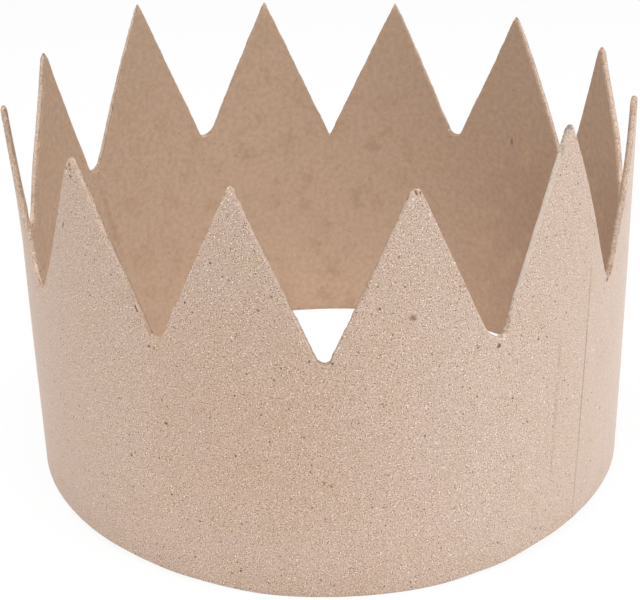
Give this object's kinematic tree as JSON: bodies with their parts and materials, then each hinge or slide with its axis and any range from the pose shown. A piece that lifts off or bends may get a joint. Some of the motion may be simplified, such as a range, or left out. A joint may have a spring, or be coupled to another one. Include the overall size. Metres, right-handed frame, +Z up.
{
  "type": "paper crown",
  "caption": "Round open crown of stiff pulp board, cut along its upper edge into tall straight-sided pointed teeth, worn on the head or used as a craft blank.",
  "frame": {"origin": "centre of the round foot of the band, on the surface that the crown stands on", "axes": "+Z up along the band's axis towards the points; -Y faces the viewer in the picture; +X to the viewer's right"},
  "size_m": [0.175, 0.175, 0.1195],
  "materials": {
    "pulp_board": "matt, uncoated, grey-brown recycled board with fine dark and pale flecks"
  },
  "bodies": {
    "root": {"crown": "pulp_board"}
  },
  "joints": []
}
